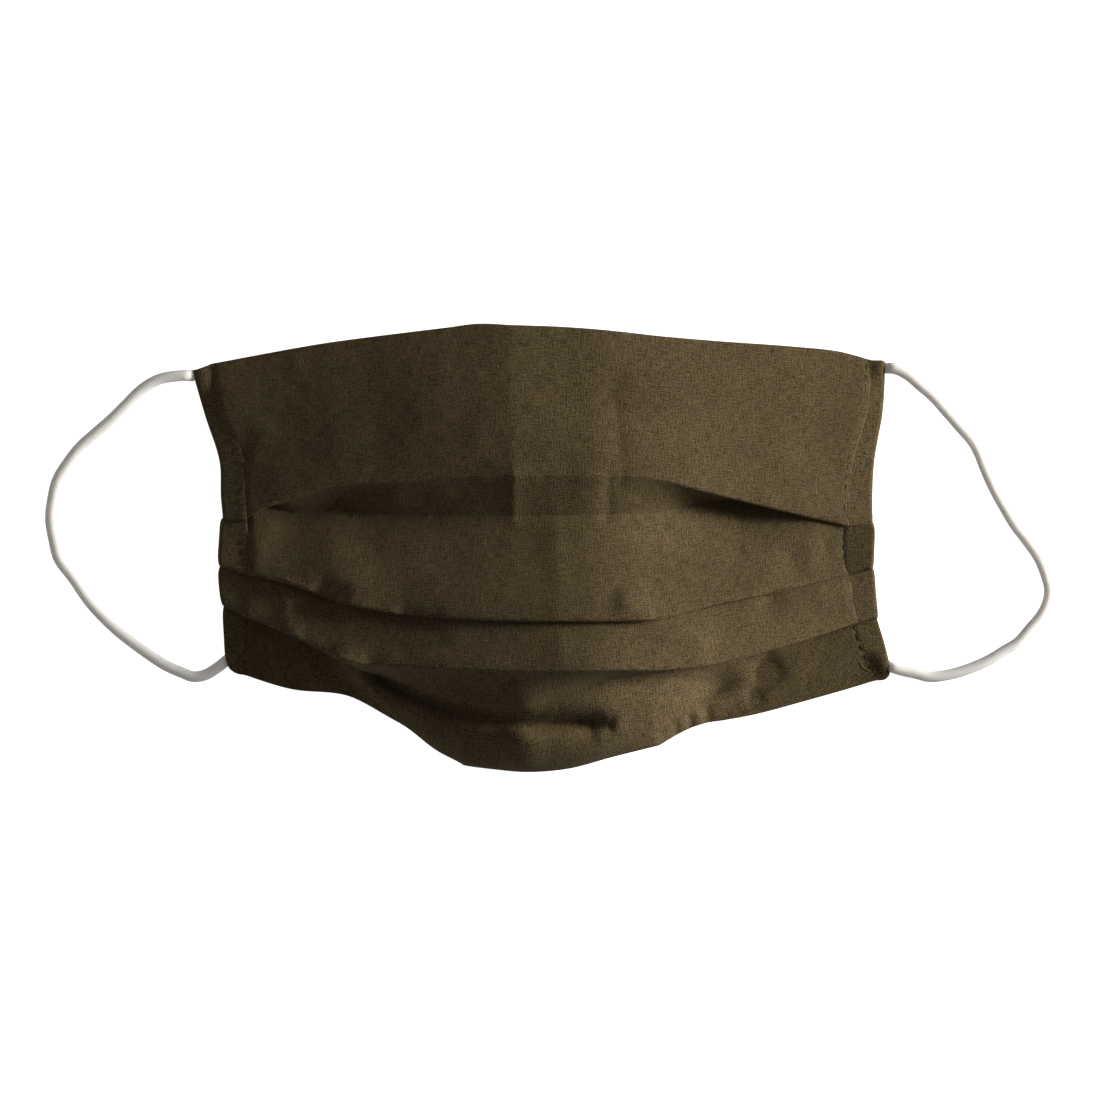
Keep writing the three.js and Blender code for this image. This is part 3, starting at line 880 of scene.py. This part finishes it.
class MASK_OT_side_hems(bpy.types.Operator):
    """Makes the side hems, each in four tabs that overlap where the pleats are folded"""

    bl_idname = "mask.side_hems"
    bl_label = "Side hems"

    def execute(self, context):
        cloth = context.scene.mask_cloth
        material = weave_material("hem_weave", cloth.colour, cloth.weave_pitch)
        for side, name in ((-1, "left_hem"), (1, "right_hem")):
            piece = joined(name, [self.tab(cloth, side, tab) for tab in range(4)], material)
            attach(piece, "root")
            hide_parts("side_hem_left" if side < 0 else "side_hem_right")
        return {"FINISHED"}

    def tab(self, cloth, side, tab):
        line = cloth_line(cloth, side)
        ys = line["ys"]
        fold = cloth.thickness + cloth.layer_gap / 2
        first = ys[tab] + (TAB_OVERLAP if tab else 0)
        last = ys[tab + 1] - (fold if tab < 3 else 0)
        spots = list(np.linspace(first, last + TAB_END, 30))
        spots += [last + TAB_END * (1 - math.sin(math.pi / 2 * step / 6)) for step in range(1, 7)]
        if tab == 0:
            spots[:1] = [first - TAB_END * math.sin(math.pi / 2 * step / 4) for step in range(4)]
        columns, around = 22, 7

        def corner_cut(distance, radius):
            near = max(radius - distance, 0)
            return radius - math.sqrt(radius * radius - near * near)

        def place(i, j):
            y = spots[j]
            inside = min(max((ys[tab] - y) / (ys[tab] - last), 0), 1)
            at = min(tab + inside, 4)
            bow = (1 - abs(2 * inside - 1) ** 4) ** 0.5
            edge = hem_edge(cloth, side, at) + side * TAB_SWELLS[side][tab] * MM * bow
            if tab == 0:
                edge -= side * corner_cut(first - y, HEM_CORNERS[side][0] * MM)
            if tab == 3:
                edge -= side * corner_cut(y - last, HEM_CORNERS[side][1] * MM)
            seam = stitch_line(cloth, side, at) - side * HEM_INSIDE
            height = leg_height(line, 2 * tab, y) + cloth.thickness / 2
            offsets = [(y - spot * MM) / BULGE_SPREAD for spot in HIDDEN_ELASTIC[side]]
            bulge = sum(ELASTIC_BULGE * math.exp(-(offset**2)) for offset in offsets)
            down = 0
            if tab < 3:
                down = fold - math.sqrt(max(fold**2 - max(fold - (y - last), 0) ** 2, 0))
            width = abs(edge - seam)
            outer = hem_top(cloth, side, tab, height, 1) + bulge - down
            radius = min(outer / 2, HEM_ROUND)
            if i < columns:
                across = i / (columns - 1) * (width - radius)
                x = seam + side * across
                rise = float(smooth((across - BULGE_START) / BULGE_REACH))
                groove = SEAM_DEPTHS[side] * (1 - float(smooth(across / SEAM_REACH)))
                pucker = math.cos(TURN * y / STITCH_LENGTH) * math.exp(-((across / PUCKER_REACH) ** 2))
                top = hem_top(cloth, side, tab, height, across / width)
                z = top + bulge * rise - groove - down + PUCKER_HEIGHT * pucker
            elif i < columns + around:
                turn = (i - columns + 1) / around * math.pi
                x = edge - side * radius * (1 - math.sin(min(turn, math.pi / 2)))
                z = outer - radius * (1 - math.cos(turn))
                if turn > math.pi / 2:
                    z = lerp(outer - radius, SURFACE_GAP, turn / (math.pi / 2) - 1)
            elif i == columns + around:
                x, z = seam, SURFACE_GAP
            else:
                return place(0, j)
            lean = lerp(TAB_LEANS[side][tab], TAB_LEANS[side][tab + 1], float(smooth(inside))) * MM
            y += lean * min(max(abs(x - seam) - LEAN_START, 0) / LEAN_REACH, 1)
            return Vector((x, y, max(z, SURFACE_GAP)))

        def texture(i, j):
            spot = place(i, j)
            return (spot.x - side * spot.z, spot.y)

        return close_up(moulded_grid(columns + around + 2, len(spots), place, texture))


def smooth_path(route, steps):
    """A smooth line through the points of a route."""
    points = []
    for index in range(len(route) - 1):
        a, b = route[index], route[index + 1]
        before = route[max(index - 1, 0)]
        after = route[min(index + 2, len(route) - 1)]
        piece = geometry.interpolate_bezier(a, a + (b - before) / 6, b - (after - a) / 6, b, steps + 1)
        points += piece if index == 0 else piece[1:]
    return points


def tube(path, sides, section):
    """A closed mesh tube along a path, with the path's length. section(share, turn) gives its reach
    sideways and upwards from the path."""
    walked = [0.0]
    for start, end in zip(path, path[1:]):
        walked.append(walked[-1] + (end - start).length)

    def place(i, j):
        ahead = (path[min(j + 1, len(path) - 1)] - path[max(j - 1, 0)]).normalized()
        sideways = Vector((ahead.y, -ahead.x, 0)).normalized()
        upwards = sideways.cross(ahead)
        across, up = section(walked[j] / walked[-1], TURN * i / sides)
        return path[j] + sideways * across + upwards * up

    def texture(i, j):
        return (ELASTIC_GIRTH * i / sides, walked[j])

    return close_up(moulded_grid(sides + 1, len(path), place, texture)), walked[-1]


def round_section(radius):
    return lambda share, turn: (radius * math.cos(turn), radius * math.sin(turn))


class MASK_OT_ear_loops(bpy.types.Operator):
    """Makes the round knitted ear loops that lie beside the mask"""

    bl_idname = "mask.ear_loops"
    bl_label = "Ear loops"

    def execute(self, context):
        loops = context.scene.mask_loops
        material = elastic_material("knitted_elastic", loops.colour)
        radius = loops.diameter / 2
        for name, node, route in (
            ("left_loop", "ear_loop_left", LEFT_ROUTE),
            ("right_loop", "ear_loop_right", RIGHT_ROUTE),
        ):
            points = [Vector((x * MM, y * MM, radius)) for x, y in route]
            exit_point = points[0].copy()
            points.insert(0, points[0] + (points[0] - points[1]).normalized() * loops.sewn_in)
            points.append(points[-1] + (points[-1] - points[-2]).normalized() * loops.sewn_in)
            path = smooth_path(points, 10)
            whole = sum((end - start).length for start, end in zip(path, path[1:]))

            def press(share):
                inside = min(share, 1 - share) * whole
                return lerp(PRESSED, 1, float(smooth((inside - loops.sewn_in + PRESS_START) / PRESS_REACH)))

            def section(share, turn):
                slack = noise.noise(Vector((share * 9, 3 if route is LEFT_ROUTE else 5, 0)))
                across = radius * (ELASTIC_WIDTH + UNEVEN_WIDTH * slack)
                return across * math.cos(turn), radius * ELASTIC_HEIGHT * press(share) * math.sin(turn)

            walked = 0
            for before, point in zip([path[0]] + path, path):
                walked += (point.xy - before.xy).length
                point.z = radius * press(walked / whole)

            shape, length = tube(path, loops.sides, section)
            piece = finished(name, shape, material)
            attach(piece, "root")
            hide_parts(node)
            [tuple(point) for point in path]
        return {"FINISHED"}


class MASK_OT_stitching(bpy.types.Operator):
    """Sews the stitches down both side hems"""

    bl_idname = "mask.stitching"
    bl_label = "Stitching"

    def execute(self, context):
        cloth = context.scene.mask_cloth
        stitch = context.scene.mask_stitch
        material = thread_material("sewing_thread", stitch.colour)
        for side, name in ((-1, "left_stitching"), (1, "right_stitching")):
            line = cloth_line(cloth, side)
            ys = line["ys"]
            arch = Vector((0, 0, STITCH_RISE))
            stitches = []
            y = ys[0] - SEAM_ENDS[0]
            while y - stitch.length > ys[4] + SEAM_ENDS[1]:
                ends = []
                for spot in (y - STITCH_SPAN[0], y - stitch.length * STITCH_SPAN[1]):
                    at = count_lines(ys, spot)
                    height = leg_height(line, 2 * tab_at(at), spot) + cloth.thickness / 2
                    ends.append(Vector((stitch_line(cloth, side, at), spot, height)))
                path = []
                for step in range(7):
                    rise = math.sin(math.pi * step / 6) - STITCH_SINK
                    path.append(ends[0].lerp(ends[1], step / 6) + arch * rise)

                def section(share, turn):
                    reach = stitch.thread / 2 * max(math.sin(math.pi * lerp(0.12, 0.88, share)), 0) ** 0.3
                    return reach * math.cos(turn), reach * math.sin(turn)

                stitches.append(tube(path, 6, section)[0])
                y -= stitch.length
            piece = joined(name, stitches, material)
            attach(piece, "root")
        return {"FINISHED"}


class MASK_OT_loose_threads(bpy.types.Operator):
    """Lays out the loose threads and a thin line of painted shadow under the left loop, and puts dark spots
    of painted shade on the holes that a needle left in the right hem
    """

    bl_idname = "mask.loose_threads"
    bl_label = "Loose threads and needle holes"

    def execute(self, context):
        cloth = context.scene.mask_cloth
        stitch = context.scene.mask_stitch
        lines = {side: cloth_line(cloth, side) for side in (-1, 1)}

        def on_hem(side, pixel):
            x, y = at_pixel(*pixel)
            # Side 0 lies on the surface: the thin line of painted shadow under the left loop's lower edge.
            if side == 0:
                return Vector((x, y, 0))
            line = lines[side]
            at = count_lines(line["ys"], y)
            tab = tab_at(at)
            height = max(leg_height(line, 2 * tab, y) + cloth.thickness / 2, cloth.thickness)
            seam, edge = stitch_line(cloth, side, at), hem_edge(cloth, side, at)
            share = min(max((x - seam) / (edge - seam), 0), 1)
            return Vector((x, y, hem_top(cloth, side, tab, height, share)))

        lift = Vector((0, 0, THREAD_LIFT))
        threads_and_loop_shadow = []
        for side, width, pixels in LOOSE_THREADS_AND_LOOP_SHADOW:
            path = smooth_path([on_hem(side, pixel) + lift for pixel in pixels], 4)
            threads_and_loop_shadow.append(tube(path, 6, round_section(width / 2 * MM))[0])
        piece = joined("loose_threads", threads_and_loop_shadow, thread_material("worn_thread_and_loop_shadow", (0.21, 0.15, 0.08)))
        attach(piece, "root")

        # Each needle hole is a small flattened dark dome on the hem: painted shade of the hole.
        holes = bmesh.new()
        for pixel in NEEDLE_HOLES:
            made = bmesh.ops.create_icosphere(holes, subdivisions=2, radius=HOLE_RADIUS)
            bmesh.ops.scale(holes, verts=made["verts"], vec=(1, 1, 0.5))
            bmesh.ops.translate(holes, verts=made["verts"], vec=on_hem(1, pixel))
        material = thread_material("needle_hole_shade", [value * 0.6 for value in stitch.colour])
        piece = finished("needle_hole_shades", holes, material)
        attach(piece, "root")
        return {"FINISHED"}


class MASK_OT_stage(bpy.types.Operator):
    """Sets out the pale surface, the studio light and the camera"""

    bl_idname = "mask.stage"
    bl_label = "Surface, light and camera"

    def execute(self, context):
        studio = context.scene.mask_studio
        scene = context.scene
        scene.view_settings.view_transform = "Standard"

        camera = bpy.data.cameras.new("camera")
        camera.sensor_width = 36
        camera.lens = 36 * studio.camera_height / studio.view_width
        viewer = link_object("camera", camera)
        viewer.location = (*at_pixel(*PHOTO_MIDDLE), studio.camera_height)
        scene.camera = viewer

        surface = bmesh.new()
        bmesh.ops.create_grid(surface, x_segments=8, y_segments=8, size=1.5)
        bmesh.ops.translate(surface, verts=surface.verts, vec=(0, 0, -SURFACE_GAP))
        floor = finished("floor", surface, paper_material(studio.floor_colour))
        floor.visible_diffuse = False
        floor.visible_glossy = False

        key = bpy.data.lights.new("key", "AREA")
        key.energy = studio.key_power
        key.size = 0.42
        key.color = (1.0, 0.985, 0.96)
        lamp = link_object("key", key)
        lamp.location = KEY_PLACE
        lamp.rotation_euler = (-lamp.location).to_track_quat("-Z", "Y").to_euler()

        world = bpy.data.worlds.new("studio")
        world.use_nodes = True
        links, nodes = world.node_tree.links, world.node_tree.nodes
        direction = nodes.new("ShaderNodeTexCoord")
        height = nodes.new("ShaderNodeSeparateXYZ")
        strength = nodes.new("ShaderNodeMapRange")
        limits = {"From Min": -0.05, "From Max": 0.05, "To Min": studio.bounce, "To Max": studio.fill}
        for name, value in limits.items():
            strength.inputs[name].default_value = value
        links.new(direction.outputs["Generated"], height.inputs[0])
        links.new(height.outputs[2], strength.inputs["Value"])
        links.new(strength.outputs["Result"], nodes["Background"].inputs["Strength"])
        nodes["Background"].inputs["Color"].default_value = (1, 1, 1, 1)
        scene.world = world
        return {"FINISHED"}


class MASK_PT_sidebar(bpy.types.Panel):
    """The settings of the mask and the pieces that they make"""

    bl_label = "Face mask"
    bl_idname = "MASK_PT_sidebar"
    bl_space_type = "VIEW_3D"
    bl_region_type = "UI"
    bl_category = "Face mask"

    def draw(self, context):
        layout = self.layout
        for settings in ("mask_studio", "mask_loops", "mask_cloth", "mask_stitch"):
            group = getattr(context.scene, settings)
            box = layout.box()
            for key in group.__annotations__:
                box.prop(group, key)
        for operator in OPERATORS:
            layout.operator(operator.bl_idname)


OPERATORS = (
    MASK_OT_stage,
    MASK_OT_ear_loops,
    MASK_OT_pleated_cloth,
    MASK_OT_side_hems,
    MASK_OT_stitching,
    MASK_OT_loose_threads,
)
SETTINGS = {
    "mask_studio": StudioSettings,
    "mask_loops": LoopSettings,
    "mask_cloth": ClothSettings,
    "mask_stitch": StitchSettings,
}


def register():
    for group in SETTINGS.values():
        bpy.utils.register_class(group)
    for name, group in SETTINGS.items():
        setattr(bpy.types.Scene, name, PointerProperty(type=group))
    for kind in (*OPERATORS, MASK_PT_sidebar):
        bpy.utils.register_class(kind)


def unregister():
    for kind in (MASK_PT_sidebar, *reversed(OPERATORS)):
        bpy.utils.unregister_class(kind)
    for name, group in SETTINGS.items():
        delattr(bpy.types.Scene, name)
        bpy.utils.unregister_class(group)


def main():
    register()
    bpy.ops.mask.stage()
    bpy.ops.mask.ear_loops()
    bpy.ops.mask.pleated_cloth()
    bpy.ops.mask.side_hems()
    bpy.ops.mask.stitching()
    bpy.ops.mask.loose_threads()


if __name__ == "__main__":
    main()
